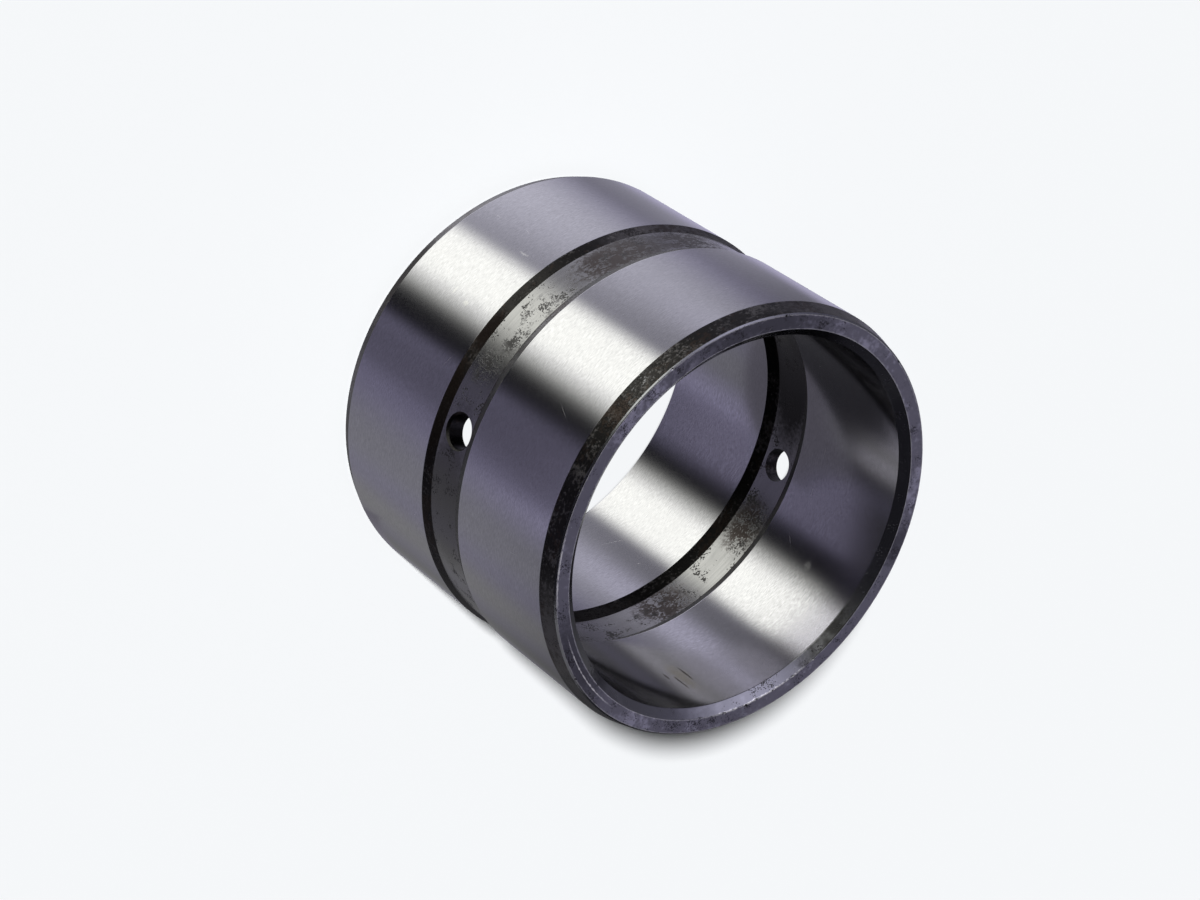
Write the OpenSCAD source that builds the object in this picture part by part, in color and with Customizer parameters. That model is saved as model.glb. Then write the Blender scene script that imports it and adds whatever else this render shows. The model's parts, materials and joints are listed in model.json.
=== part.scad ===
// Sleeve bearing: a turned steel bushing, ground outside and in the bore, with a wide shallow
// oil groove round the outside and another round the bore, joined by oil holes.
// It stands on end. The bore runs along +Z and the origin is the centre of the bottom end face.

/* [Body] */
// Diameter of the ground bore
bore_d = 80; // [40:1:160]
// Wall between the bore and the ground outside
wall = 6; // [5:0.5:16]
// Length from end face to end face
length = 75; // [45:1:160]

/* [End chamfers] */
// Height of the outside lead chamfer at the top end
top_lead_h = 3.8; // [1:0.1:8]
// Height of the outside lead chamfer at the bottom end
bottom_lead_h = 2.8; // [1:0.1:8]
// How far both lead chamfers run in from the outside, measured on the radius
lead_w = 0.9; // [0.4:0.1:2]
// Height and width of the break between each lead chamfer and its end face
edge_break = 0.3; // [0.1:0.1:0.8]
// Height of the chamfer at each end of the bore
bore_chamfer_h = 1.6; // [0.5:0.1:4]
// How far the bore chamfers widen the bore, measured on the radius
bore_chamfer_w = 1.8; // [0.5:0.1:2.5]

/* [Outer groove] */
// Width of the groove round the outside, from edge to edge
outer_groove_w = 13; // [10:0.5:20]
// Depth of the outer groove
outer_groove_depth = 0.8; // [0.3:0.1:2]
// Height of each sloping flank of the outer groove
outer_flank_h = 2.1; // [0.5:0.1:3]
// How far the outer groove lies above half the length
outer_groove_offset = -0.5; // [-3:0.5:3]

/* [Inner groove] */
// Width of the groove round the bore, from edge to edge
inner_groove_w = 13.4; // [10:0.1:20]
// Depth of the inner groove
inner_groove_depth = 1.4; // [0.5:0.1:2.5]
// Height of each sloping flank of the inner groove
inner_flank_h = 2.3; // [0.5:0.1:3]

/* [Oil holes] */
// Number of oil holes, evenly spaced round the grooves from +X
oil_hole_count = 2; // [1:1:6]
// Diameter of each oil hole
oil_hole_d = 7; // [4:0.5:8]
// Height and width of the break round the outer mouth of each oil hole
oil_hole_break = 0.5; // [0.2:0.1:1]

/* [Hidden] */

// Ground steel
steel = [0.53, 0.51, 0.56];
// Facets of the body and of an oil hole
body_fn = 180;
hole_fn = 48;
// How far a cutter runs past the surface that it opens
cut = 1;

bore_r = bore_d / 2;
outer_r = bore_r + wall;
face_outer_r = outer_r - lead_w - edge_break;
face_inner_r = bore_r + bore_chamfer_w;
mid_z = length / 2;
outer_floor_r = outer_r - outer_groove_depth;
inner_floor_r = bore_r + inner_groove_depth;
oil_hole_r = oil_hole_d / 2;

function reversed(points) = [for (i = [len(points) - 1 : -1 : 0]) points[i]];

// Section of a groove from its lower edge to its upper edge: a flank, a flat floor, a flank
function groove_line(wall_r, floor_r, z, width, flank_h) = [
    [wall_r, z - width / 2],
    [floor_r, z - width / 2 + flank_h],
    [floor_r, z + width / 2 - flank_h],
    [wall_r, z + width / 2]
];

// Outside of the section, from the bottom end face up to the top one
function outside_line() = concat(
    [
        [face_outer_r, 0],
        [outer_r - lead_w, edge_break],
        [outer_r, bottom_lead_h]
    ],
    groove_line(outer_r, outer_floor_r, mid_z + outer_groove_offset, outer_groove_w, outer_flank_h),
    [
        [outer_r, length - top_lead_h],
        [outer_r - lead_w, length - edge_break],
        [face_outer_r, length]
    ]
);

// Bore side of the section, from the bottom end face up to the top one
function bore_line() = concat(
    [
        [face_inner_r, 0],
        [bore_r, bore_chamfer_h]
    ],
    groove_line(bore_r, inner_floor_r, mid_z, inner_groove_w, inner_flank_h),
    [
        [bore_r, length - bore_chamfer_h],
        [face_inner_r, length]
    ]
);

module turned_body() {
    rotate_extrude($fn = body_fn)
        polygon(concat(outside_line(), reversed(bore_line())));
}

// Cutter of one oil hole along +X, from inside the bore out through the outer groove
module oil_hole() {
    mouth_r = oil_hole_r + oil_hole_break;
    rotate([0, 90, 0]) {
        translate([0, 0, bore_r - cut])
            cylinder(h = wall + 2 * cut, r = oil_hole_r, $fn = hole_fn);
        translate([0, 0, outer_floor_r - oil_hole_break])
            cylinder(h = oil_hole_break, r1 = oil_hole_r, r2 = mouth_r, $fn = hole_fn);
        translate([0, 0, outer_floor_r])
            cylinder(h = outer_groove_depth + cut, r = mouth_r, $fn = hole_fn);
    }
}

module sleeve() {
    color(steel)
        difference() {
            turned_body();
            for (i = [0 : oil_hole_count - 1])
                rotate([0, 0, i * 360 / oil_hole_count])
                    translate([0, 0, mid_z])
                        oil_hole();
        }
}

sleeve();
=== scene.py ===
"""Sleeve bearing: a turned steel bushing with ground walls, oil grooves and oil holes, on a studio floor."""

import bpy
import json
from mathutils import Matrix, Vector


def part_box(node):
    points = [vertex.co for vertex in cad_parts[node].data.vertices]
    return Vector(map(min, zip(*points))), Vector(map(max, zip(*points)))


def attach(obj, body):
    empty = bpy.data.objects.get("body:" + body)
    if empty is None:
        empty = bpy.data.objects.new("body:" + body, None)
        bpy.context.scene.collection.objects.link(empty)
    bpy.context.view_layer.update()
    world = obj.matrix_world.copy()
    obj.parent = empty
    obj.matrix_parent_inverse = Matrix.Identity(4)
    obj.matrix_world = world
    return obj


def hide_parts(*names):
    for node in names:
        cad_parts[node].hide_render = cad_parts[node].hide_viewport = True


bl_info = {
    "name": "Sleeve bearing",
    "version": (1, 0, 0),
    "blender": (4, 5, 0),
    "location": "View3D > Sidebar > Sleeve bearing",
    "description": "Turns a steel bushing with oil grooves and oil holes, finishes it and sets up its studio",
    "category": "Object",
}

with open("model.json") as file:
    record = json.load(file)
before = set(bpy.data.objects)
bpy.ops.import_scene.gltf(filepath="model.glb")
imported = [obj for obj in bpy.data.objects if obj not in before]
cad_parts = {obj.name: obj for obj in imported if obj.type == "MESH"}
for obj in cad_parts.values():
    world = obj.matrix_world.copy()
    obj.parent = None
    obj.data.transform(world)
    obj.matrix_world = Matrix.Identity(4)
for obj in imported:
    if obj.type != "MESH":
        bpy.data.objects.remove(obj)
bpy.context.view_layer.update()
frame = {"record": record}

import json
import math

import bmesh
import bpy
from bpy.props import FloatProperty, FloatVectorProperty, IntProperty, PointerProperty
from mathutils import Vector

NODE = "sleeve"
MM = 0.001

low_corner, high_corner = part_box(NODE)
mounts = {mount["name"]: mount for mount in frame["record"]["mounts"]}
LENGTH = high_corner.z - low_corner.z
OUTSIDE_RADIUS = mounts["outside"]["dims"]["r_mm"] * MM
BORE_RADIUS = mounts["bore"]["dims"]["r_mm"] * MM


def size(name, description, default, low=0.0, high=0.2):
    """A length that the user can change."""
    return FloatProperty(
        name=name, description=description, default=default, min=low, max=high, precision=5, unit="LENGTH"
    )


def colour(name, description, default):
    """A colour that the user can change."""
    return FloatVectorProperty(
        name=name, description=description, default=default, size=3, min=0.0, max=1.0, subtype="COLOR"
    )


def share(name, description, default, high=1.0):
    """A plain number from nothing up, such as a roughness or a share."""
    return FloatProperty(
        name=name, description=description, default=default, min=0.0, max=high, subtype="FACTOR"
    )


def bearing(name, description, default):
    """A compass angle round the bore's axis, from +X."""
    return FloatProperty(
        name=name, description=description, default=math.radians(default), subtype="ANGLE", unit="ROTATION"
    )


class SleeveSizes(bpy.types.PropertyGroup):
    """Sizes of the turned body"""

    bore_radius: size("Bore radius", "Radius of the ground bore", BORE_RADIUS)
    outside_radius: size("Outside radius", "Radius of the ground outside", OUTSIDE_RADIUS)
    length: size("Length", "Length from end face to end face", LENGTH)
    lead_depth: size("Lead depth", "How far the lead chamfers run in from the outside", 0.9 * MM)
    top_lead: size("Top lead", "Height of the lead chamfer at the top end", 3.8 * MM)
    bottom_lead: size("Bottom lead", "Height of the lead chamfer at the bottom end", 2.8 * MM)
    edge_break: size("Edge break", "Height and width of the break between lead chamfer and face", 0.3 * MM)
    bore_chamfer_height: size("Bore chamfer height", "Height of the chamfers of the bore", 1.6 * MM)
    bore_chamfer_width: size("Bore chamfer width", "How far the bore chamfers widen the bore", 1.8 * MM)
    outer_groove_width: size("Outer groove width", "Width of the groove round the outside", 13 * MM)
    outer_groove_depth: size("Outer groove depth", "Depth of the groove round the outside", 0.8 * MM)
    outer_flank: size("Outer groove flank", "Height of each sloping flank of the outer groove", 2.1 * MM)
    outer_groove_height: size("Outer groove height", "Height of the outer groove's middle", 37 * MM)
    inner_groove_width: size("Inner groove width", "Width of the groove round the bore", 13.4 * MM)
    inner_groove_depth: size("Inner groove depth", "Depth of the groove round the bore", 1.4 * MM)
    inner_flank: size("Inner groove flank", "Height of each sloping flank of the inner groove", 2.3 * MM)
    hole_radius: size("Oil hole radius", "Radius of the oil holes", 3.5 * MM)
    hole_break: size("Oil hole break", "Break round the outer mouth of each oil hole", 0.5 * MM)
    corner_rounding: size("Corner rounding", "How far every corner of the section is rounded off", 0.1 * MM)
    hole_count: IntProperty(
        name="Oil holes", description="Number of oil holes round the sleeve", default=2, min=0, max=6
    )
    turning_steps: IntProperty(
        name="Turning steps", description="Facets round the turned body", default=288, min=48, max=720
    )


class SleeveFinish(bpy.types.PropertyGroup):
    """Colours and finishes of the steel"""

    ground_steel: colour("Ground steel", "Colour of the ground walls", (0.252, 0.247, 0.272))
    faced_steel: colour("Faced steel", "Colour of the end faces", (0.178, 0.177, 0.19))
    groove_steel: colour("Groove steel", "Colour of the bare groove floors", (0.152, 0.149, 0.158))
    dark_skin: colour("Dark skin", "Colour of the heat-treated skin", (0.036, 0.034, 0.0345))
    ground_roughness: share("Ground roughness", "Roughness of the ground walls", 0.145)


class SleeveStudio(bpy.types.PropertyGroup):
    """Floor, lights and camera"""

    backdrop: colour("Backdrop", "Colour of the floor and of the room behind it", (0.905, 0.922, 0.939))
    room_level: share("Room level", "Brightness of the plain room in the steel", 0.47, 4.0)
    softbox_bearing: bearing("Softbox bearing", "Where the tall softbox stands", 131)
    softbox_level: share("Softbox level", "Brightness of the tall softbox", 3.95, 10.0)
    flag_bearing: bearing("Flag bearing", "Where the black flag stands", 165)
    key_level: share("Key level", "Strength of the key light on the floor", 5.0, 10.0)


# Moves of the hand


def start_fresh():
    """Leaves edit mode and clears the selection."""
    if bpy.context.object and bpy.context.object.mode != "OBJECT":
        bpy.ops.object.mode_set(mode="OBJECT")
    bpy.ops.object.select_all(action="DESELECT")


def take(piece):
    """Selects one piece alone and makes it the active one."""
    start_fresh()
    piece.select_set(True)
    bpy.context.view_layer.objects.active = piece


def edit(piece):
    """Opens a piece for editing with nothing selected in it."""
    take(piece)
    bpy.ops.object.mode_set(mode="EDIT")
    bpy.ops.mesh.select_all(action="DESELECT")


def pick(kind, test):
    """Selects, in the open mesh, only the verts, edges or faces that pass the test."""
    bpy.ops.mesh.select_mode(type={"verts": "VERT", "edges": "EDGE", "faces": "FACE"}[kind])
    bpy.ops.mesh.select_all(action="DESELECT")
    mesh = bpy.context.object.data
    shape = bmesh.from_edit_mesh(mesh)
    for element in getattr(shape, kind):
        element.select_set(bool(test(element)))
    shape.select_flush_mode()
    bmesh.update_edit_mesh(mesh)


def bake_place(piece):
    """Puts a piece's place, turn and scale into its mesh."""
    take(piece)
    bpy.ops.object.transform_apply(location=True, rotation=True, scale=True)


def apply_modifier(piece, kind, **settings):
    """Adds a modifier to a piece and applies it."""
    take(piece)
    modifier = piece.modifiers.new(kind.title(), kind)
    for name, value in settings.items():
        setattr(modifier, name, value)
    bpy.ops.object.modifier_apply(modifier=modifier.name)


# A nick is a bearing in degrees, then its shift outwards, half its length and its depth in millimetres
MOUTH_NICKS = (
    (279, -0.1, 0.5, 0.16),
    (283.2, 0.1, 0.35, 0.12),
    (287.6, 0.1, 0.6, 0.18),
    (290.8, 0, 0.3, 0.12),
    (295.2, 0.4, 0.45, 0.28),
    (299, 0, 0.7, 0.15),
    (304.5, 0.1, 0.35, 0.13),
    (312, 0, 0.8, 0.14),
    (319.5, 0.1, 0.4, 0.15),
    (236, 0.1, 0.5, 0.14),
    (144, 0.1, 0.6, 0.14),
)
RIM_NICKS = (
    (309.8, -0.1, 0.5, 0.2),
    (266, 0, 0.6, 0.14),
    (229, 0, 0.7, 0.16),
    (206, 0.1, 0.9, 0.15),
    (138, 0.1, 0.7, 0.16),
    (103, 0, 0.6, 0.14),
    (58, 0, 0.7, 0.15),
)

# How much wider than deep a nick's cutter is, and how it is tilted, in radians
NICK_WIDTH = 1.6
NICK_TILT = (0.3, 0.2)
# How far the drill starts inside the bore, and how far it stands out past its countersink
DRILL_START = 2 * MM
DRILL_END = 3 * MM


# Section of the sleeve


def groove(wall, floor, height, width, flank):
    """A groove's section from its lower edge to its upper one."""
    low, high = height - width / 2, height + width / 2
    return [(wall, low), (floor, low + flank), (floor, high - flank), (wall, high)]


def outside_line(s):
    """Outside of the section from the bottom face to the top one, as radius and height."""
    lead, face = s.outside_radius - s.lead_depth, s.outside_radius - s.lead_depth - s.edge_break
    floor = s.outside_radius - s.outer_groove_depth
    return [
        (face, 0),
        (lead, s.edge_break),
        (s.outside_radius, s.bottom_lead),
        *groove(s.outside_radius, floor, s.outer_groove_height, s.outer_groove_width, s.outer_flank),
        (s.outside_radius, s.length - s.top_lead),
        (lead, s.length - s.edge_break),
        (face, s.length),
    ]


def bore_line(s):
    """Bore side of the section from the bottom face to the top one."""
    mouth, floor = s.bore_radius + s.bore_chamfer_width, s.bore_radius + s.inner_groove_depth
    return [
        (mouth, 0),
        (s.bore_radius, s.bore_chamfer_height),
        *groove(s.bore_radius, floor, s.length / 2, s.inner_groove_width, s.inner_flank),
        (s.bore_radius, s.length - s.bore_chamfer_height),
        (mouth, s.length),
    ]


def shape_side(radius, line):
    """Subdivides the section's straight side at that radius and moves its points onto the line."""
    near = 0.1 * MM
    pick("edges", lambda edge: all(abs(vert.co.x - radius) < near for vert in edge.verts))
    bpy.ops.mesh.subdivide(number_cuts=len(line) - 2)
    shape = bmesh.from_edit_mesh(bpy.context.object.data)
    side = [vert for vert in shape.verts if abs(vert.co.x - radius) < near]
    side.sort(key=lambda vert: vert.co.z)
    moves = [(vert.index, Vector((r, 0, z)) - vert.co) for vert, (r, z) in zip(side, line)]
    for index, move in moves:
        pick("verts", lambda vert: vert.index == index)
        bpy.ops.transform.translate(value=move)


def turn_body(s):
    """Turns the sleeve's body from its section."""
    wall = s.outside_radius - s.bore_radius
    middle = Vector((s.bore_radius + wall / 2, 0, s.length / 2))
    start_fresh()
    bpy.ops.mesh.primitive_plane_add(size=1, location=middle, rotation=(math.pi / 2, 0, 0))
    body = bpy.context.object
    body.name = body.data.name = "turned_sleeve"
    body.scale = (wall, s.length, 1)
    bake_place(body)
    edit(body)
    shape_side(s.outside_radius, outside_line(s))
    shape_side(s.bore_radius, bore_line(s))
    pick("verts", lambda vert: True)
    bpy.ops.mesh.bevel(offset=s.corner_rounding, segments=2, affect="VERTICES")
    pick("faces", lambda face: True)
    bpy.ops.mesh.delete(type="ONLY_FACE")
    pick("verts", lambda vert: True)
    bpy.ops.mesh.spin(steps=s.turning_steps, angle=math.tau, center=(0, 0, 0), axis=(0, 0, 1))
    pick("verts", lambda vert: True)
    bpy.ops.mesh.remove_doubles(threshold=0.002 * MM)
    bpy.ops.mesh.normals_make_consistent(inside=False)
    start_fresh()
    return body


def hole_cutter(s, turn):
    """A drill with a countersink, on the side of the sleeve that the turn gives."""
    floor = s.outside_radius - s.outer_groove_depth
    start, end = s.bore_radius - DRILL_START, floor - s.hole_break
    start_fresh()
    bpy.ops.mesh.primitive_cylinder_add(
        vertices=96,
        radius=s.hole_radius,
        depth=end - start,
        location=((start + end) / 2, 0, s.length / 2),
        rotation=(0, math.pi / 2, 0),
    )
    cutter = bpy.context.object
    bake_place(cutter)
    edit(cutter)
    mouth = Vector((end, 0, s.length / 2))
    pick("faces", lambda face: face.normal.x > 0.9)
    bpy.ops.mesh.extrude_region_move(TRANSFORM_OT_translate={"value": (s.hole_break, 0, 0)})
    grow = (s.hole_radius + s.hole_break) / s.hole_radius
    bpy.ops.transform.resize(value=(1, grow, grow), center_override=mouth)
    bpy.ops.mesh.extrude_region_move(TRANSFORM_OT_translate={"value": (DRILL_END, 0, 0)})
    take(cutter)
    bpy.ops.transform.rotate(value=turn, orient_axis="Z", center_override=(0, 0, 0))
    bake_place(cutter)
    return cutter


def drill_holes(body, s):
    """Drills the oil holes from groove to groove."""
    for step in range(s.hole_count):
        cutter = hole_cutter(s, math.tau * step / s.hole_count)
        apply_modifier(body, "BOOLEAN", operation="DIFFERENCE", solver="EXACT", object=cutter)
        bpy.data.objects.remove(cutter)


def nick(s, turn, radius, length, depth):
    """A blunt cutter on an edge of the top end, on the bearing that is given."""
    start_fresh()
    spot = (radius * math.cos(turn), radius * math.sin(turn), s.length)
    bpy.ops.mesh.primitive_uv_sphere_add(
        segments=10, ring_count=6, radius=1, location=spot, rotation=(*NICK_TILT, turn)
    )
    cutter = bpy.context.object
    cutter.scale = (depth * NICK_WIDTH, length, depth)
    bake_place(cutter)
    return cutter


def dent_edges(body, s):
    """Knocks small nicks in the edges of the top end, as handling leaves them."""
    mouth, rim = s.bore_radius + s.bore_chamfer_width, s.outside_radius - s.lead_depth - s.edge_break
    cutters = []
    for edge, nicks in ((mouth, MOUTH_NICKS), (rim, RIM_NICKS)):
        for degrees, shift, length, depth in nicks:
            cutters.append(nick(s, math.radians(degrees), edge + shift * MM, length * MM, depth * MM))
    start_fresh()
    for cutter in cutters:
        cutter.select_set(True)
    bpy.context.view_layer.objects.active = cutters[0]
    bpy.ops.object.join()
    apply_modifier(body, "BOOLEAN", operation="DIFFERENCE", solver="EXACT", object=cutters[0])
    bpy.data.objects.remove(cutters[0])


# Nodes


class Sheet:
    """A node tree that nodes are placed on."""

    def __init__(self, tree):
        self.tree = tree

    def node(self, kind, inputs=None, **settings):
        """Adds a shader node, sets it and wires its inputs."""
        node = self.tree.nodes.new("ShaderNode" + kind)
        for name, value in settings.items():
            setattr(node, name, value)
        for name, value in (inputs or {}).items():
            if isinstance(value, bpy.types.NodeSocket):
                self.tree.links.new(value, node.inputs[name])
            else:
                node.inputs[name].default_value = value
        return node

    def math(self, operation, *values):
        """The result of a Math node."""
        return self.node("Math", dict(enumerate(values)), operation=operation).outputs[0]

    def times(self, a, b):
        """Two masks or numbers, multiplied."""
        return self.math("MULTIPLY", a, b)

    def most(self, a, b):
        """The larger of two masks."""
        return self.math("MAXIMUM", a, b)

    def mask(self, name, **inputs):
        """The mask of an effect."""
        return self.group(name, **inputs)["Mask"]

    def band(self, value, start, full, still_full, end):
        """A band that is full between two values and fades out past them."""
        return self.times(self.step(value, start, full), self.step(value, end, still_full))

    def vector(self, operation, *values, output="Vector"):
        """The result of a Vector Math node."""
        return self.node("VectorMath", dict(enumerate(values)), operation=operation).outputs[output]

    def step(self, value, start, end):
        """A smooth step from 0 where the value is at start to 1 where it is at end."""
        inputs = {"Value": value, "From Min": start, "From Max": end}
        return self.node("MapRange", inputs, interpolation_type="SMOOTHSTEP").outputs["Result"]

    def blend(self, factor, a, b):
        """A blend from number a to number b."""
        return self.node("Mix", {0: factor, 2: a, 3: b}, data_type="FLOAT").outputs[0]

    def paint(self, mask, under, over):
        """A colour with another one over it where the mask is 1."""
        node = self.node("Mix", {0: mask}, data_type="RGBA")
        for socket, value in zip((node.inputs[6], node.inputs[7]), (under, over)):
            if isinstance(value, bpy.types.NodeSocket):
                self.tree.links.new(value, socket)
            else:
                socket.default_value = (*value[:3], 1)
        return node.outputs[2]

    def group(self, name, **inputs):
        """Places a node group and returns its outputs."""
        node = self.node("Group", node_tree=bpy.data.node_groups[name])
        for label, value in inputs.items():
            socket = node.inputs[label.replace("_", " ")]
            if isinstance(value, bpy.types.NodeSocket):
                self.tree.links.new(value, socket)
            else:
                socket.default_value = value
        return node.outputs

    def noise(self, place, detail=2.0, rough=0.5):
        """Noise over a place that is already scaled, as a value round one half."""
        inputs = {"Vector": place, "Scale": 1.0, "Detail": detail, "Roughness": rough}
        return self.node("TexNoise", inputs).outputs["Fac"]

    def millimetres(self):
        """The surface's own place, in millimetres."""
        place = self.node("TexCoord").outputs["Object"]
        return self.vector("MULTIPLY", place, (1 / MM, 1 / MM, 1 / MM))


def build_group(name, inputs, outputs, wire):
    """A shader node group with named sockets, wired by a function of its sheet and inputs."""
    group = bpy.data.node_groups.new(name, "ShaderNodeTree")
    for label, value in inputs.items():
        kind = "NodeSocketVector" if isinstance(value, tuple) else "NodeSocketFloat"
        group.interface.new_socket(name=label, in_out="INPUT", socket_type=kind).default_value = value
    for label in outputs:
        group.interface.new_socket(name=label, in_out="OUTPUT", socket_type="NodeSocketFloat")
    sheet = Sheet(group)
    results = wire(sheet, group.nodes.new("NodeGroupInput").outputs)
    end = group.nodes.new("NodeGroupOutput")
    for label, socket in zip(outputs, results):
        group.links.new(socket, end.inputs[label])


# Where noise runs from dark to light, and shifts that keep two noises of one size apart
NOISE_RANGE = (0.3, 0.7)
FLECK_SHIFT = (17.0, 5.0, 3.0)
PATCH_SHIFT = (3.0, 11.0, 7.0)
# Noise of ragged edges: its scale in lines and patches, its detail and roughness
LINE_BREAKS = (0.9, 0.9, 2.0)
PATCH_BREAKS = (1.3, 1.3, 1.3)
RAGGED = (4.0, 0.6)


def stretched_place(sheet, around, along):
    """The place in units of around across the axis and of along on it."""
    across, up = sheet.math("DIVIDE", 1.0, around), sheet.math("DIVIDE", 1.0, along)
    scale = sheet.node("CombineXYZ", {0: across, 1: across, 2: up}).outputs[0]
    return sheet.vector("MULTIPLY", sheet.millimetres(), scale)


def axis_distance(sheet, point):
    """How far a point lies from the bore's axis."""
    return sheet.vector("LENGTH", sheet.vector("MULTIPLY", point, (1, 1, 0)), output="Value")


def ragged_noise(sheet, point, scale):
    """Noise round nought, that makes a straight edge ragged."""
    return sheet.math("SUBTRACT", sheet.noise(sheet.vector("MULTIPLY", point, scale), *RAGGED), 0.5)


def wire_grain(sheet, given):
    """Grinding lines round the sleeve, and short flecks between them."""
    lines = sheet.noise(stretched_place(sheet, given["Around"], given["Along"]), 3.0, 0.6)
    place = stretched_place(sheet, given["Fleck Around"], given["Fleck Along"])
    flecks = sheet.noise(sheet.vector("ADD", place, FLECK_SHIFT), 2.0, 0.6)
    return sheet.step(lines, *NOISE_RANGE), sheet.step(flecks, *NOISE_RANGE)


def wire_specks(sheet, given):
    """Specks gathered in patches."""
    place = stretched_place(sheet, sheet.times(given["Size"], given["Stretch"]), given["Size"])
    specks = sheet.noise(place, 2.0, 0.55)
    patch_place = stretched_place(sheet, given["Patch"], given["Patch"])
    patches = sheet.noise(sheet.vector("ADD", patch_place, PATCH_SHIFT), 1.0, 0.5)
    gathered = sheet.times(sheet.math("SUBTRACT", patches, 0.5), given["Gather"])
    level = sheet.math("ADD", specks, gathered)
    edge = sheet.math("SUBTRACT", 0.75, sheet.times(given["Share"], 0.5))
    return (sheet.step(level, edge, sheet.math("ADD", edge, given["Softness"])),)


def wire_edge(sheet, given):
    """Wear along one circle of the turned section."""
    point = sheet.millimetres()
    axes = sheet.node("SeparateXYZ", {0: point}).outputs
    radius = axis_distance(sheet, point)
    out = sheet.math("POWER", sheet.math("SUBTRACT", radius, given["Radius"]), 2.0)
    up = sheet.math("POWER", sheet.math("SUBTRACT", axes["Z"], given["Height"]), 2.0)
    gap = sheet.math("SQRT", sheet.math("ADD", out, up))
    rough = ragged_noise(sheet, point, LINE_BREAKS)
    gap = sheet.math("ADD", gap, sheet.times(rough, sheet.times(given["Breakup"], 4.0)))
    return (sheet.step(gap, given["Width"], sheet.times(given["Width"], 0.4)),)


def wire_patch(sheet, given):
    """One patch round a point, with a ragged rim."""
    point = sheet.millimetres()
    away = sheet.vector("DIVIDE", sheet.vector("SUBTRACT", point, given["Centre"]), given["Reach"])
    distance = sheet.vector("LENGTH", away, output="Value")
    rough = ragged_noise(sheet, point, PATCH_BREAKS)
    distance = sheet.math("ADD", distance, sheet.times(rough, given["Breakup"]))
    return (sheet.step(distance, 1.0, given["Core"]),)


def wire_scratches(sheet, given):
    """Short hairline scratches that lie every way."""
    point = sheet.millimetres()
    axes = sheet.node("SeparateXYZ", {0: point}).outputs
    radius = axis_distance(sheet, point)
    around = sheet.times(sheet.math("ARCTAN2", axes["Y"], axes["X"]), radius)
    along = sheet.math("ADD", axes["Z"], radius)
    flat = sheet.node("CombineXYZ", {0: around, 1: along}).outputs[0]
    cell = sheet.node("CombineXYZ", {0: given["Cell"], 1: given["Cell"], 2: 1.0}).outputs[0]
    flat = sheet.vector("DIVIDE", flat, cell)
    inputs = {"Vector": flat, "Scale": 1.0}
    cells = sheet.node("TexVoronoi", inputs, voronoi_dimensions="2D").outputs
    away = sheet.vector("SUBTRACT", flat, cells["Position"])
    offset = sheet.node("SeparateXYZ", {0: away}).outputs
    chance = sheet.node("SeparateColor", {0: cells["Color"]}).outputs
    turn = sheet.times(chance["Red"], math.pi)
    cosine, sine = sheet.math("COSINE", turn), sheet.math("SINE", turn)
    x, y = offset["X"], offset["Y"]
    length = sheet.math("ADD", sheet.times(x, cosine), sheet.times(y, sine))
    width = sheet.math("SUBTRACT", sheet.times(y, cosine), sheet.times(x, sine))
    half = sheet.math("DIVIDE", given["Width"], given["Cell"])
    thin = sheet.step(sheet.math("ABSOLUTE", width), half, sheet.times(half, 0.3))
    short = sheet.step(sheet.math("ABSOLUTE", length), sheet.times(chance["Blue"], 0.45), 0.0)
    kept = sheet.math("LESS_THAN", chance["Green"], given["Share"])
    return (sheet.times(kept, sheet.times(thin, short)),)


def build_groups():
    """The effects that the finishes share."""
    grain = {"Around": 5.0, "Along": 0.3, "Fleck Around": 0.7, "Fleck Along": 0.3}
    build_group("Grinding Grain", grain, ("Lines", "Flecks"), wire_grain)
    specks = {"Size": 0.4, "Stretch": 1.0, "Patch": 6.0, "Gather": 1.0, "Share": 0.5, "Softness": 0.05}
    build_group("Specks", specks, ("Mask",), wire_specks)
    edge = {"Radius": 46.0, "Height": 0.0, "Width": 0.3, "Breakup": 0.2}
    build_group("Worn Edge", edge, ("Mask",), wire_edge)
    patch = {"Centre": (0.0, 0.0, 0.0), "Reach": (1.0, 1.0, 1.0), "Breakup": 0.5, "Core": 0.5}
    build_group("Patch", patch, ("Mask",), wire_patch)
    build_group("Scratches", {"Cell": 6.0, "Width": 0.05, "Share": 0.3}, ("Mask",), wire_scratches)


def empty_material(name):
    """A material with no nodes, and its sheet."""
    material = bpy.data.materials.new(name)
    material.use_nodes = True
    material.node_tree.nodes.clear()
    return material, Sheet(material.node_tree)


def steel_material(name):
    """A metal's material, its sheet and its shader."""
    material, sheet = empty_material(name)
    shader = sheet.node("BsdfPrincipled", {"Metallic": 1.0})
    sheet.node("OutputMaterial", {"Surface": shader.outputs[0]})
    return material, sheet, shader


def finish_steel(sheet, shader, paint, roughness, height, depth, dusty=None):
    """Wires a finish to the shader, with a bump of that depth in millimetres, and dull where it is dusty."""
    if dusty is not None:
        sheet.tree.links.new(sheet.math("SUBTRACT", 1.0, dusty), shader.inputs["Metallic"])
    sheet.tree.links.new(paint, shader.inputs["Base Color"])
    sheet.tree.links.new(roughness, shader.inputs["Roughness"])
    bump = sheet.node("Bump", {"Height": height, "Distance": depth * MM, "Strength": 1.0})
    sheet.tree.links.new(bump.outputs["Normal"], shader.inputs["Normal"])


def tone(colour_value, factor):
    """A colour made lighter or darker."""
    return tuple(min(part * factor, 1.0) for part in colour_value)


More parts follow.
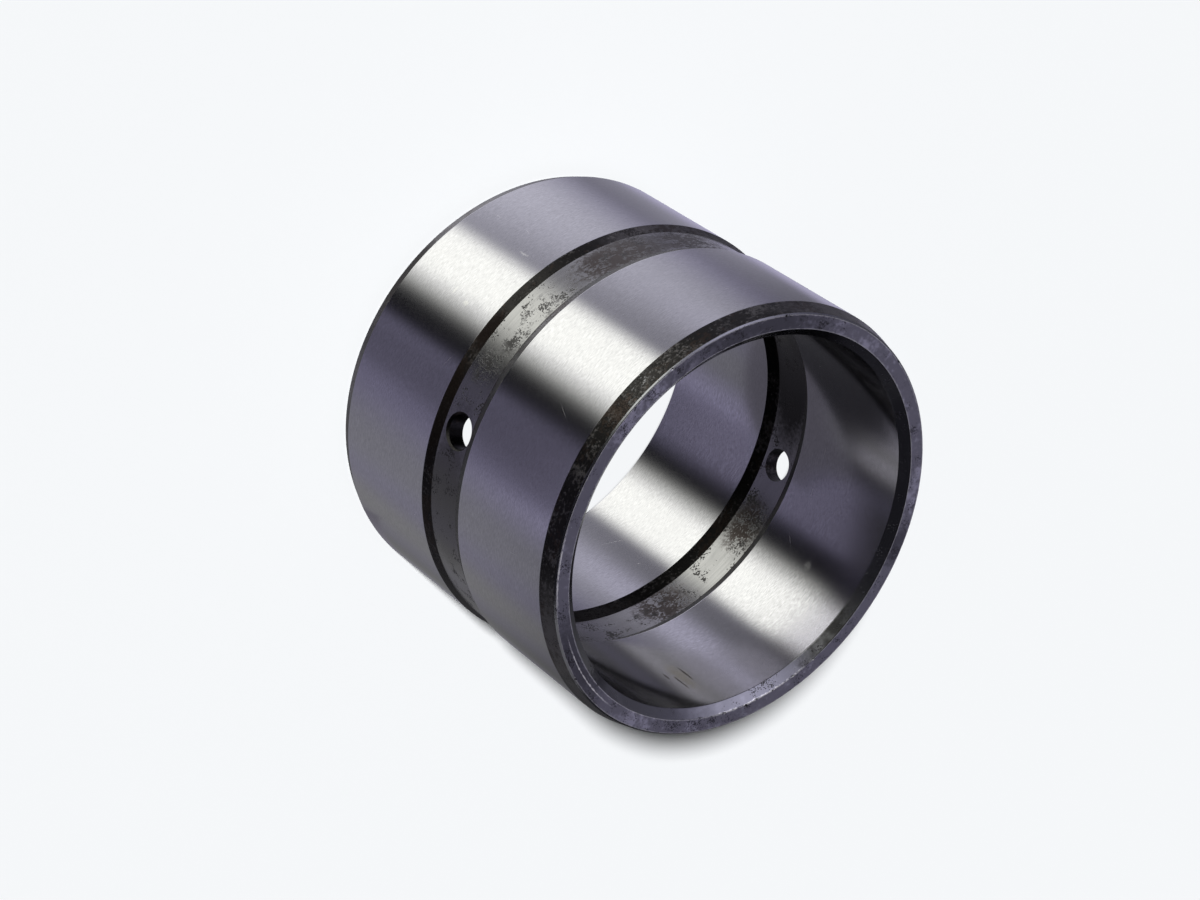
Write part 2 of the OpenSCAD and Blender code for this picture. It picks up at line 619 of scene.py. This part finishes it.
# Colours of marks and stains on the steel
BRIGHT_SCRATCH = (0.5, 0.49, 0.48)
SCUFF_STAIN = (0.27, 0.25, 0.2)
SCUFF_DARK = (0.03, 0.025, 0.022)
WORN_STEEL = (0.4, 0.395, 0.41)
CHAMFER_STEEL = (0.205, 0.205, 0.226)
# Worn steel and painted highlight: the lighter colour of the dinged edge of the bore's mouth
DINGED_STEEL_AND_GLINT = (0.5, 0.49, 0.52)
GROOVE_STAIN = (0.024, 0.017, 0.015)
BROWN_SKIN = (0.029, 0.021, 0.018)
RUST = (0.012, 0.009, 0.008)

# A mark is a centre and a reach, both in millimetres
SCUFF_LINES = (
    ((8, -39.2, 61), (0.3, 1.5, 1.4)),
    ((9.5, -38.85, 64), (0.25, 1.5, 3)),
    ((12.3, -38.05, 61.5), (0.22, 1.5, 3.6)),
)
SCUFF_TINT = (((10.9, -38.45, 62), (2.4, 2, 7.5)),)
BRIGHT_RUBS = (
    ((-32, 33, 23.3), (0.35, 0.5, 2)),
    ((-40.5, 21.8, 17), (0.9, 1.6, 0.35)),
    ((-40.9, 21, 22), (0.5, 0.8, 1.1)),
    ((37.7, -13.2, 59.2), (0.9, 1.6, 1.2)),
)
# A worn line is the radius of a circle on the top face and the marks that it shows in
# Wear and painted highlight: the dinged edge of the bore's mouth, painted lighter along part of the top end
DINGED_EDGE_AND_GLINT = (41.9, (((21, -36, 75), (19, 13, 9)),))
FACE_LINES = (
    (43.1, (((-27, -33.5, 75), (13, 13, 9)),)),
    (44.5, (((-43, -12, 75), (9, 11, 9)),)),
    DINGED_EDGE_AND_GLINT,
)
# Painted shade: patches of the top face painted darker where the room's light leaves it dark
FACE_SHADES = (
    ((-17.5, 39.8, 75), (28, 20, 9)),
    ((-31, -30.5, 75), (14, 16, 9)),
    ((43.7, -1, 75), (5, 6, 9)),
)
OUTER_COVERED = (
    ((-42, -16, 37), (13, 26, 9)),
    ((-19, 41.2, 37), (17, 10, 7)),
)
OUTER_SPOTTED = (
    ((-36.1, 27.2, 38.3), (5, 6, 4)),
    ((-40.3, 20.5, 38.9), (4, 6, 4)),
    ((-43, 13.5, 36.5), (4, 5, 5)),
)
OUTER_MOTTLED = (
    ((-22, 39.5, 38), (16, 11, 7)),
    ((-5, 44.9, 38), (11, 7, 7)),
)
THIN_SKIN = (
    ((-4, 44, 32), (22, 9, 4)),
    ((6, 44.6, 73), (24, 7, 4)),
    ((-45.5, -4, 1.5), (6, 8, 3)),
    ((5.7, -40.3, 32), (24, 10, 2.6)),
    ((-35, -28.5, 73), (17, 20, 5)),
    ((-36.8, 26.7, 42.5), (9, 11, 1.5)),
)
RUSTY_SKIN = (
    ((-41, 19.5, 1.5), (9, 13, 4)),
    ((-41.5, 19, 32), (5, 8, 2.5)),
    ((-45.5, 2, 31.5), (6, 16, 2.5)),
)
# Painted shade: a dark patch on the top bore chamfer, in the dark skin's colour
CHAMFER_SHADES = (((34.5, -23.5, 74.2), (8, 11, 7)),)
HANDLED_CHAMFER = (((-32, -25.5, 74.2), (14, 14, 7)),)
BARE_SKIN = (
    ((-37.8, 25.4, 72.6), (3.4, 4.6, 2.2)),
    ((-36.8, 26.7, 42.5), (3, 4, 1.2)),
)
INNER_COVERED = (((36, 20, 37.5), (13.5, 22.5, 9)),)
INNER_SPOTTED = (
    ((17.4, -37.5, 37.4), (2.8, 2, 1.7)),
    ((21.2, -35.6, 38.7), (1.6, 1.6, 1.1)),
    ((24.3, -33.5, 36.3), (1.4, 1.4, 1)),
    ((14.4, -38.8, 40.2), (1.5, 1.3, 1)),
)
INNER_MOTTLED = (
    ((38.8, -14.5, 37.5), (5, 9, 6)),
    ((23.5, -34, 37.5), (9, 7, 8)),
)
# The covered, spotted and mottled places of each groove
OUTER_GROOVE_MARKS = (OUTER_COVERED, OUTER_SPOTTED, OUTER_MOTTLED)
INNER_GROOVE_MARKS = (INNER_COVERED, INNER_SPOTTED, INNER_MOTTLED)


def marks(sheet, places, breakup=0.6, core=0.3):
    """One mask over several marks."""
    mask = 0.0
    for centre, reach in places:
        patch = sheet.mask("Patch", Centre=centre, Reach=reach, Breakup=breakup, Core=core)
        mask = sheet.most(mask, patch)
    return mask


def ground_material(finish):
    """Steel ground round the sleeve."""
    material, sheet, shader = steel_material("ground_steel")
    steel = finish.ground_steel
    grain = sheet.group("Grinding Grain", Around=9.0, Along=0.4, Fleck_Around=1.0, Fleck_Along=0.13)
    clouds = sheet.mask("Specks", Size=4.0, Stretch=2.0, Patch=30.0, Share=0.6, Softness=0.4)
    scratches = sheet.mask("Scratches", Cell=9.0, Width=0.05, Share=0.14)
    hairlines = sheet.mask("Scratches", Cell=3.1, Width=0.035, Share=0.2)
    rubs = marks(sheet, BRIGHT_RUBS, breakup=1.8)
    scratches = sheet.most(scratches, sheet.times(hairlines, 0.6))
    scratches = sheet.most(scratches, sheet.times(rubs, 0.5))
    paint = sheet.paint(grain["Flecks"], tone(steel, 0.82), tone(steel, 1.13))
    paint = sheet.paint(sheet.times(grain["Lines"], 0.3), paint, tone(steel, 0.9))
    paint = sheet.paint(sheet.times(clouds, 0.4), paint, tone(steel, 0.92))
    paint = sheet.paint(sheet.times(scratches, 0.45), paint, BRIGHT_SCRATCH)
    tint = sheet.times(marks(sheet, SCUFF_TINT, breakup=1.4, core=0.1), 0.6)
    paint = sheet.paint(tint, paint, SCUFF_STAIN)
    scuffs = marks(sheet, SCUFF_LINES, breakup=0.9, core=0.5)
    paint = sheet.paint(sheet.times(scuffs, 0.9), paint, SCUFF_DARK)
    roughness = sheet.blend(grain["Flecks"], finish.ground_roughness + 0.02, finish.ground_roughness - 0.02)
    roughness = sheet.blend(sheet.most(scratches, tint), roughness, 0.3)
    height = sheet.math("ADD", sheet.times(grain["Flecks"], 0.7), sheet.times(grain["Lines"], 0.3))
    finish_steel(sheet, shader, paint, roughness, height, 0.001)
    return material


def faced_material(finish, s):
    """Steel faced on the lathe at both ends, worn along its edges, with painted shade in patches of the top
    face.
    """
    material, sheet, shader = steel_material("faced_steel")
    steel = finish.faced_steel
    mottle = sheet.mask("Specks", Size=0.9, Stretch=1.3, Patch=9.0, Gather=1.2, Share=0.5, Softness=0.35)
    pits = sheet.mask("Specks", Size=0.32, Stretch=1.0, Patch=4.0, Gather=0.7, Share=0.2, Softness=0.06)
    scratches = sheet.mask("Scratches", Cell=1.8, Width=0.05, Share=0.35)
    shades = marks(sheet, FACE_SHADES, breakup=0.8, core=0.35)
    paint = sheet.paint(mottle, tone(steel, 0.78), tone(steel, 1.2))
    # Painted shade: the top face painted darker in the patches of FACE_SHADES
    paint = sheet.paint(sheet.times(shades, 0.85), paint, tone(steel, 0.3))
    paint = sheet.paint(sheet.times(pits, 0.8), paint, tone(finish.dark_skin, 0.7))
    worn = sheet.times(scratches, 0.5)
    for radius in (s.bore_radius + s.bore_chamfer_width, s.outside_radius - s.lead_depth - s.edge_break):
        for height in (0, s.length):
            place = {"Radius": radius / MM, "Height": height / MM}
            rim = sheet.mask("Worn Edge", Width=0.24, Breakup=0.14, **place)
            worn = sheet.most(worn, sheet.times(rim, 0.5))
    for radius, places in FACE_LINES:
        line = sheet.mask("Worn Edge", Radius=radius, Height=s.length / MM, Width=0.16, Breakup=0.16)
        shown = sheet.times(line, marks(sheet, places, breakup=0.8, core=0.3))
        worn = sheet.most(worn, shown)
    paint = sheet.paint(worn, paint, WORN_STEEL)
    roughness = sheet.blend(worn, sheet.blend(mottle, 0.42, 0.34), 0.5)
    height = sheet.math("SUBTRACT", sheet.times(mottle, 0.5), pits)
    finish_steel(sheet, shader, paint, roughness, height, 0.015, sheet.times(worn, 0.5))
    return material


def chamfer_material(finish, s):
    """Smooth turned steel on the bore chamfers, with pits, a dinged edge and a patch of painted shade."""
    material, sheet, shader = steel_material("chamfer_steel")
    steel = CHAMFER_STEEL
    mottle = sheet.mask("Specks", Size=1.2, Stretch=2.0, Patch=10.0, Gather=1.0, Share=0.5, Softness=0.4)
    pits = sheet.mask("Specks", Size=0.26, Stretch=1.2, Patch=3.0, Gather=0.8, Share=0.1, Softness=0.05)
    paint = sheet.paint(mottle, tone(steel, 0.88), tone(steel, 1.1))
    paint = sheet.paint(sheet.times(pits, 0.85), paint, finish.dark_skin)
    handled = sheet.times(marks(sheet, HANDLED_CHAMFER, breakup=0.6, core=0.4), 0.4)
    roughness = sheet.blend(sheet.most(pits, handled), 0.2, 0.5)
    # Painted shade: the chamfer painted dark in the dark skin's colour where CHAMFER_SHADES lies
    shade = sheet.times(marks(sheet, CHAMFER_SHADES, breakup=0.8, core=0.4), sheet.blend(mottle, 0.85, 0.5))
    paint = sheet.paint(shade, paint, tone(finish.dark_skin, 0.9))
    # Wear and painted highlight: the dinged edge of the mouth painted in lighter steel
    radius, places = DINGED_EDGE_AND_GLINT
    dings_and_glint = sheet.mask("Worn Edge", Radius=radius, Height=s.length / MM, Width=0.3, Breakup=0.3)
    dings_and_glint = sheet.times(dings_and_glint, marks(sheet, places, breakup=0.8, core=0.3))
    paint = sheet.paint(dings_and_glint, paint, DINGED_STEEL_AND_GLINT)
    handled = sheet.most(handled, sheet.times(dings_and_glint, 0.5))
    finish_steel(sheet, shader, paint, roughness, sheet.math("SUBTRACT", 1.0, pits), 0.02, handled)
    return material


def groove_material(finish, name, covered, spotted, mottled, stain, cover):
    """Turned groove floor with skin, spots and stains at their places."""
    material, sheet, shader = steel_material(name)
    steel = finish.groove_steel
    grain = sheet.group("Grinding Grain", Around=9.0, Along=0.5)
    few = sheet.mask("Specks", Size=0.4, Stretch=1.2, Patch=3.5, Gather=1.0, Share=0.12, Softness=0.04)
    many = sheet.mask("Specks", Size=0.36, Stretch=1.1, Patch=2.5, Gather=1.0, Share=0.42, Softness=0.04)
    stains = sheet.mask("Specks", Size=stain, Stretch=1.8, Patch=3.0, Gather=0.6, Share=0.66, Softness=0.05)
    haze = sheet.mask("Specks", Size=2.6, Stretch=2.0, Patch=14.0, Gather=1.0, Share=0.5, Softness=0.4)
    spots = sheet.most(few, sheet.times(many, marks(sheet, spotted, breakup=0.8, core=0.3)))
    stains = sheet.times(stains, marks(sheet, mottled, breakup=0.8, core=0.4))
    skin = marks(sheet, covered, breakup=0.5, core=0.5)
    paint = sheet.paint(grain["Lines"], tone(steel, 0.92), tone(steel, 1.08))
    paint = sheet.paint(sheet.times(haze, 0.35), paint, tone(steel, 0.6))
    paint = sheet.paint(sheet.times(skin, 0.9), paint, tone(finish.dark_skin, cover))
    paint = sheet.paint(sheet.times(stains, 0.9), paint, GROOVE_STAIN)
    paint = sheet.paint(sheet.times(spots, 0.9), paint, tone(finish.dark_skin, 0.7))
    dull = sheet.most(spots, sheet.times(stains, 0.7))
    roughness = sheet.blend(dull, 0.23, 0.45)
    finish_steel(sheet, shader, paint, roughness, sheet.math("SUBTRACT", 1.0, dull), 0.008)
    return material


def scaled_material(finish):
    """Dark heat-treated skin, mottled, and thin, rusty or rubbed bare in places."""
    material, sheet, shader = steel_material("scaled_steel")
    skin = finish.dark_skin
    mottle = sheet.mask("Specks", Size=0.5, Stretch=1.6, Patch=6.0, Gather=0.8, Share=0.5, Softness=0.25)
    brown = sheet.mask("Specks", Size=0.7, Stretch=1.8, Patch=9.0, Gather=1.0, Share=0.4, Softness=0.15)
    grit = sheet.mask("Specks", Size=0.28, Stretch=1.0, Patch=3.0, Gather=0.6, Share=0.4, Softness=0.08)
    thin = marks(sheet, THIN_SKIN, breakup=0.6, core=0.3)
    rusty = marks(sheet, RUSTY_SKIN, breakup=0.8, core=0.4)
    paint = sheet.paint(mottle, tone(skin, 0.42), tone(skin, 1.95))
    paint = sheet.paint(sheet.times(thin, 0.7), paint, tone(skin, 3.2))
    paint = sheet.paint(sheet.times(brown, 0.65), paint, BROWN_SKIN)
    paint = sheet.paint(sheet.times(grit, 0.7), paint, tone(skin, 0.2))
    paint = sheet.paint(sheet.times(rusty, 0.85), paint, RUST)
    rub = sheet.mask("Specks", Size=0.5, Stretch=2.0, Patch=5.0, Gather=0.5, Share=0.5, Softness=0.2)
    bare = sheet.times(marks(sheet, BARE_SKIN, breakup=2.4, core=0.1), rub)
    paint = sheet.paint(sheet.times(bare, 0.6), paint, finish.ground_steel)
    roughness = sheet.blend(rusty, sheet.blend(mottle, 0.36, 0.48), 0.65)
    height = sheet.math("SUBTRACT", mottle, sheet.times(grit, 0.5))
    finish_steel(sheet, shader, paint, roughness, height, 0.02)
    return material


def steel_materials(finish, s):
    """The finishes of the sleeve, in the order of its material slots."""
    build_groups()
    return (
        ground_material(finish),
        faced_material(finish, s),
        chamfer_material(finish, s),
        groove_material(finish, "outer_groove_steel", *OUTER_GROOVE_MARKS, stain=0.55, cover=1.1),
        groove_material(finish, "inner_groove_steel", *INNER_GROOVE_MARKS, stain=0.35, cover=0.2),
        scaled_material(finish),
    )


def dress_body(body, s, finish):
    """Gives each surface of the sleeve its finish."""
    for material in steel_materials(finish, s):
        body.data.materials.append(material)
    near = 0.05 * MM
    ground, faced, chamfered, outer_floor, inner_floor, scaled = range(6)
    outer_wall = s.outside_radius - s.outer_groove_depth
    face_edge = s.outside_radius - s.lead_depth - s.edge_break

    def slot_of(face):
        centre = face.calc_center_median()
        radius, height = math.hypot(centre.x, centre.y), centre.z
        across = math.hypot(centre.y, height - s.length / 2)
        end_gap = min(height, s.length - height)
        if across < s.hole_radius + s.hole_break + near and math.hypot(face.normal.y, face.normal.z) > 0.4:
            return scaled
        if radius < s.bore_radius + s.bore_chamfer_width and end_gap < s.bore_chamfer_height:
            return chamfered
        if radius > face_edge - near and 0.4 < abs(face.normal.z) < 0.9 and end_gap < s.edge_break + near:
            return chamfered
        if abs(face.normal.z) > 0.9:
            return faced
        if radius > face_edge - near and (height < s.bottom_lead or height > s.length - s.top_lead):
            return scaled
        if radius > outer_wall - 2 * near and abs(height - s.outer_groove_height) < s.outer_groove_width / 2:
            return outer_floor if abs(face.normal.z) < 0.1 else scaled
        if radius < outer_wall and abs(height - s.length / 2) < s.inner_groove_width / 2:
            return inner_floor if abs(face.normal.z) < 0.1 else scaled
        return ground

    edit(body)
    for slot in (faced, chamfered, outer_floor, inner_floor, scaled):
        pick("faces", lambda face: slot_of(face) == slot)
        bpy.context.object.active_material_index = slot
        bpy.ops.object.material_slot_assign()
    start_fresh()


class SLEEVE_OT_body(bpy.types.Operator):
    """Turns, drills and finishes the sleeve"""

    bl_idname = "sleeve.body"
    bl_label = "Sleeve"
    bl_options = {"REGISTER", "UNDO"}

    def execute(self, context):
        sizes, finish = context.scene.sleeve_sizes, context.scene.sleeve_finish
        body = turn_body(sizes)
        drill_holes(body, sizes)
        dent_edges(body, sizes)
        dress_body(body, sizes, finish)
        take(body)
        bpy.ops.object.shade_smooth_by_angle(angle=math.radians(3))
        start_fresh()
        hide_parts(NODE)
        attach(body, "root")
        return {"FINISHED"}


# Studio

# Floor: its radius in metres, how much of it glows, and where its glow under the bore and past a hole ends
FLOOR_RADIUS = 4
FLOOR_GLOW = 0.08
BORE_GLOW_EDGE = (43.0, 41.0)
HOLE_GLOW_CENTRE = (74.0, -14.0, 0.0)
HOLE_GLOW_EDGE = (13.0, 10.0)

# Steps of Ray Depth past the first reflection at a card, and past the first and the second in the room
AGAIN_AT_CARD = (1.4, 1.6)
AGAIN_IN_ROOM = (2.4, 2.6)
PAST_SECOND_IN_ROOM = (3.6, 3.4)

# A card: name, centre, width and depth in millimetres, tone at the first reflection or None for clear
CARDS = (
    ("bore_card", (6.5, -37.0, -16.0), 67.0, 32.0, (0.25, 0.24, 0.28)),
    ("groove_card", (20.0, -125.0, -16.0), 240.0, 120.0, None),
)
CARD_TONE = (0.2, 0.2, 0.21)

# Tints of the room and its lights
ROOM_TINT, BLACK = (1.05, 1, 1.38), (0, 0, 0)
VIOLET, COOL, NEUTRAL = (1.05, 1, 1.35), (1.02, 1, 1.2), (1, 1, 1.08)
CREAM, PLAIN = (0.98, 1, 0.88), (1, 1, 1)

# Heights of a direction in the room, as its Z: where the upper room starts, and three bands
UPPER_ROOM = (-0.705, -0.68)
DEEP_BAND = (-0.72, -0.70, -0.69, -0.655)
CLOSE_BAND = (-0.735, -0.715, -0.70, -0.685)
SECOND_BAND = (-0.73, -0.69, -0.61, -0.58)
SOFTBOX_FADE = (-0.1, -0.45)
UPPER_SHADE = 0.38
SOFTBOX_LEAN = (0.03, 0.045, 0)
# The side of the close band that is lifted, as a light without level and tint, and how far
LIFTED_SIDE = (38, 0, 60, 30)
LIFT, LIFT_SHARE = 1.3, 0.5

# A light of the room: bearing, rise, half its width and softness in degrees, then level and tint
SIDE_LIGHTS = (
    (22, 0, 20, 30, 0.40, COOL),
    (90, 0, 28, 40, 0.62, NEUTRAL),
    (240, 0, 18, 30, 0.57, NEUTRAL),
    (280, 0, 14, 24, 0.48, PLAIN),
    (312, 0, 20, 40, 0.22, PLAIN),
)
UPPER_LIGHTS = ((84, 0, 10, 16, 1.12, COOL),)
DEEP_LIGHTS = ((199, 0, 24, 24, 0.88, VIOLET),)
CLOSE_LIGHTS = ((190, 0, 20, 16, 0.12, VIOLET),)
ROUND_LIGHTS = (
    (76, -67, 20, 20, 2.1, NEUTRAL),
    (0, 90, 38, 16, 0.04, COOL),
    (235, 45, 48, 20, 0.04, COOL),
    (305, 5, 28, 20, 0.05, COOL),
    (10, 0, 20, 20, 0.2, COOL),
    (339, 42, 14, 16, 1.0, VIOLET),
    (78, 41, 18, 34, 1.7, COOL),
    (0, -40, 8, 10, 0.52, VIOLET),
)
# Lights that turn with the softbox or the flag, with bearings from it
SOFTBOX_EDGE = ((24, 0, 9, 16, 0.42, CREAM),)
SOFTBOX_FRONT = ((-3.7, 0, 13.4, 12, 1.0, CREAM), (4, 0, 12.5, 24, 1.0, CREAM))
FLAG_SIDES = ((0, 0, 9, 12, 0.02, COOL), (24, 0, 12, 14, 0.29, VIOLET))
# Lights of second reflections alone, and how far several reflections are dimmed
SECOND_LIGHTS = (
    (60, 0, 50, 30, 0.36, PLAIN),
    (92, 0, 12, 20, 0.6, COOL),
    (182, 0, 56, 30, 3.3, PLAIN),
    (146, 0, 8, 16, 1.9, CREAM),
    (192, 0, 8, 20, 5.2, NEUTRAL),
    (291, 0, 31, 28, 12.8, CREAM),
    (350, 0, 10, 12, 0.28, COOL),
)
AGAIN_SHADE = 0.5

KEY_DIRECTION = (-0.682, 0.361, 0.636)
KEY_ANGLE = 3.5

# Camera: place in metres, turn in degrees, lens and sensor in millimetres
CAMERA_PLACE = (-0.407044, 0.156118, 0.463234)
CAMERA_TURN = (-30.07916, -35.44988, 23.47726)
CAMERA_LENS = 90.291
CAMERA_SENSOR = 36
CAMERA_CLIP = (0.01, 50)


def lobe(sheet, way, turn, rise, half_width, softness):
    """A mask over the part of the room that lies round one direction, in degrees."""
    turn, rise = math.radians(turn), math.radians(rise)
    centre = (math.cos(rise) * math.cos(turn), math.cos(rise) * math.sin(turn), math.sin(rise))
    along = sheet.vector("DOT_PRODUCT", way, centre, output="Value")
    angle = sheet.math("ARCCOSINE", sheet.math("MINIMUM", sheet.most(along, -1.0), 1.0))
    return sheet.step(angle, math.radians(half_width + softness / 2), math.radians(half_width - softness / 2))


def add_lights(sheet, colour, way, mask, lights, bearing=0.0, strength=1.0):
    """The room's colour with lights in it, where the mask is 1."""
    for turn, rise, half_width, softness, level, tint in lights:
        shown = sheet.times(lobe(sheet, way, turn + bearing, rise, half_width, softness), mask)
        colour = sheet.paint(shown, colour, Vector(tint) * (level * strength))
    return colour


def room_seen_once(sheet, studio, way, flat, height):
    """The room that one reflection shows: plain, with soft lights, a tall softbox and a black flag."""
    softbox, flag = math.degrees(studio.softbox_bearing), math.degrees(studio.flag_bearing)
    above = sheet.step(height, *UPPER_ROOM)
    lean = sheet.vector("MULTIPLY", SOFTBOX_LEAN, above)
    leaning = sheet.vector("NORMALIZE", sheet.vector("ADD", flat, lean))
    colour = add_lights(sheet, Vector(ROOM_TINT) * studio.room_level, flat, 1.0, SIDE_LIGHTS)
    colour = add_lights(sheet, colour, flat, 1.0, SOFTBOX_EDGE, softbox)
    colour = sheet.paint(sheet.times(above, UPPER_SHADE), colour, BLACK)
    colour = add_lights(sheet, colour, flat, above, UPPER_LIGHTS)
    close = sheet.band(height, *CLOSE_BAND)
    lifted = sheet.times(close, lobe(sheet, flat, *LIFTED_SIDE))
    brighter = sheet.vector("MULTIPLY", colour, (LIFT, LIFT, LIFT))
    colour = sheet.paint(sheet.times(lifted, LIFT_SHARE), colour, brighter)
    fade = sheet.blend(sheet.step(height, *SOFTBOX_FADE), 0.6, 1.0)
    colour = add_lights(sheet, colour, leaning, fade, SOFTBOX_FRONT, softbox, studio.softbox_level)
    colour = add_lights(sheet, colour, leaning, 1.0, FLAG_SIDES, flag)
    colour = add_lights(sheet, colour, flat, sheet.band(height, *DEEP_BAND), DEEP_LIGHTS)
    colour = add_lights(sheet, colour, flat, close, CLOSE_LIGHTS)
    return add_lights(sheet, colour, way, 1.0, ROUND_LIGHTS)


def room_seen_again(sheet, colour, flat, height, depth):
    """The room that later reflections show: dimmed, with levels of its own for the second one.

    The ground steel is darker than real steel, so second reflections would be too dark without these.
    """
    again = sheet.step(depth, *AGAIN_IN_ROOM)
    colour = sheet.paint(sheet.times(again, AGAIN_SHADE), colour, BLACK)
    second = sheet.times(again, sheet.step(depth, *PAST_SECOND_IN_ROOM))
    second = sheet.times(second, sheet.band(height, *SECOND_BAND))
    return add_lights(sheet, colour, flat, second, SECOND_LIGHTS)


def make_room(scene, studio):
    """The room that lights the steel, and that the camera sees as a plain backdrop."""
    world = bpy.data.worlds.new("studio_room")
    scene.world = world
    world.use_nodes = True
    world.node_tree.nodes.clear()
    sheet = Sheet(world.node_tree)
    way = sheet.vector("NORMALIZE", sheet.node("TexCoord").outputs["Generated"])
    flat = sheet.vector("NORMALIZE", sheet.vector("MULTIPLY", way, (1, 1, 0)))
    height = sheet.node("SeparateXYZ", {0: way}).outputs["Z"]
    rays = sheet.node("LightPath").outputs
    colour = room_seen_once(sheet, studio, way, flat, height)
    colour = room_seen_again(sheet, colour, flat, height, rays["Ray Depth"])
    room = sheet.node("Background", {"Color": colour, "Strength": 1.0})
    backdrop = sheet.node("Background", {"Color": (*studio.backdrop, 1), "Strength": 1.0})
    inputs = {0: rays["Is Camera Ray"], 1: room.outputs[0], 2: backdrop.outputs[0]}
    surface = sheet.node("MixShader", inputs)
    sheet.node("OutputWorld", {"Surface": surface.outputs[0]})
    world.cycles_visibility.diffuse = False


def make_floor(studio):
    """A pale round floor that keeps the sleeve's shadow, except under the bore and past an oil hole where it
    glows as painted light, and that the steel doesn't mirror.
    """
    start_fresh()
    bpy.ops.mesh.primitive_circle_add(vertices=96, radius=FLOOR_RADIUS, fill_type="NGON", location=(0, 0, 0))
    floor = bpy.context.object
    floor.name = "studio_floor"
    material, sheet = empty_material("pale_floor")
    point = sheet.millimetres()
    rays = sheet.node("LightPath").outputs
    pale = (*studio.backdrop, 1)
    lit = sheet.node("BsdfDiffuse", {"Color": pale})
    glow = sheet.node("Emission", {"Color": pale, "Strength": 1.0})
    part_glow = sheet.node("MixShader", {0: FLOOR_GLOW, 1: lit.outputs[0], 2: glow.outputs[0]})
    # Painted light: under the bore and at a spot past an oil hole the floor glows at full brightness to the
    # camera, in place of the shadow there
    under_bore = sheet.step(sheet.vector("LENGTH", point, output="Value"), *BORE_GLOW_EDGE)
    from_hole = sheet.vector("DISTANCE", point, HOLE_GLOW_CENTRE, output="Value")
    bright = sheet.most(under_bore, sheet.step(from_hole, *HOLE_GLOW_EDGE))
    bright = sheet.times(bright, rays["Is Camera Ray"])
    surface = sheet.node("MixShader", {0: bright, 1: part_glow.outputs[0], 2: glow.outputs[0]})
    sheet.node("OutputMaterial", {"Surface": surface.outputs[0]})
    floor.data.materials.append(material)
    floor.visible_glossy = False
    floor.visible_shadow = False


def make_card(name, centre, width, depth, once):
    """A dim grey card that keeps the room's light off what is seen by two reflections."""
    material, sheet = empty_material(name)
    again = sheet.step(sheet.node("LightPath").outputs["Ray Depth"], *AGAIN_AT_CARD)
    shade = sheet.paint(again, once or CARD_TONE, CARD_TONE)
    glow = sheet.node("Emission", {"Color": shade, "Strength": 1.0})
    clear = sheet.node("BsdfTransparent")
    solid = 1.0 if once else again
    surface = sheet.node("MixShader", {0: solid, 1: clear.outputs[0], 2: glow.outputs[0]})
    sheet.node("OutputMaterial", {"Surface": surface.outputs[0]})
    start_fresh()
    bpy.ops.mesh.primitive_plane_add(size=1, location=[part * MM for part in centre])
    card = bpy.context.object
    card.name = name
    card.scale = (width * MM, depth * MM, 1)
    card.data.materials.append(material)
    card.visible_camera = card.visible_diffuse = card.visible_shadow = False


def make_key(studio):
    """The key light, which lights the floor and gives the sleeve its shadow."""
    towards_light = Vector(KEY_DIRECTION).normalized()
    start_fresh()
    bpy.ops.object.light_add(type="SUN", location=towards_light)
    key = bpy.context.object
    key.name = key.data.name = "key_light"
    key.rotation_euler = towards_light.to_track_quat("Z", "Y").to_euler()
    key.data.energy = studio.key_level
    key.data.angle = math.radians(KEY_ANGLE)
    key.visible_glossy = False


def make_camera(scene):
    """The camera at the photograph's place."""
    start_fresh()
    bpy.ops.object.camera_add(location=CAMERA_PLACE)
    camera = bpy.context.object
    camera.name = camera.data.name = "photo_view"
    camera.rotation_euler = [math.radians(turn) for turn in CAMERA_TURN]
    camera.data.sensor_width = CAMERA_SENSOR
    camera.data.lens = CAMERA_LENS
    camera.data.clip_start, camera.data.clip_end = CAMERA_CLIP
    scene.camera = camera


class SLEEVE_OT_studio(bpy.types.Operator):
    """Sets up the floor, the lights and the camera"""

    bl_idname = "sleeve.studio"
    bl_label = "Studio"
    bl_options = {"REGISTER", "UNDO"}

    def execute(self, context):
        studio = context.scene.sleeve_studio
        make_floor(studio)
        for card in CARDS:
            make_card(*card)
        make_room(context.scene, studio)
        make_key(studio)
        make_camera(context.scene)
        context.scene.view_settings.view_transform = "Standard"
        return {"FINISHED"}


class SLEEVE_PT_panel(bpy.types.Panel):
    """Sizes, finishes and studio of the sleeve bearing"""

    bl_idname = "SLEEVE_PT_panel"
    bl_label = "Sleeve bearing"
    bl_space_type = "VIEW_3D"
    bl_region_type = "UI"
    bl_category = "Sleeve bearing"

    def draw(self, context):
        for operator, group in (
            (SLEEVE_OT_body, context.scene.sleeve_sizes),
            (SLEEVE_OT_body, context.scene.sleeve_finish),
            (SLEEVE_OT_studio, context.scene.sleeve_studio),
        ):
            box = self.layout.box()
            for name in group.__annotations__:
                box.prop(group, name)
            box.operator(operator.bl_idname)


CLASSES = (SleeveSizes, SleeveFinish, SleeveStudio, SLEEVE_OT_body, SLEEVE_OT_studio, SLEEVE_PT_panel)


def register():
    for entry in CLASSES:
        bpy.utils.register_class(entry)
    bpy.types.Scene.sleeve_sizes = PointerProperty(type=SleeveSizes)
    bpy.types.Scene.sleeve_finish = PointerProperty(type=SleeveFinish)
    bpy.types.Scene.sleeve_studio = PointerProperty(type=SleeveStudio)


def unregister():
    for name in ("sleeve_sizes", "sleeve_finish", "sleeve_studio"):
        delattr(bpy.types.Scene, name)
    for entry in reversed(CLASSES):
        bpy.utils.unregister_class(entry)


def main():
    register()
    bpy.ops.sleeve.body()
    bpy.ops.sleeve.studio()


if __name__ == "__main__":
    main()
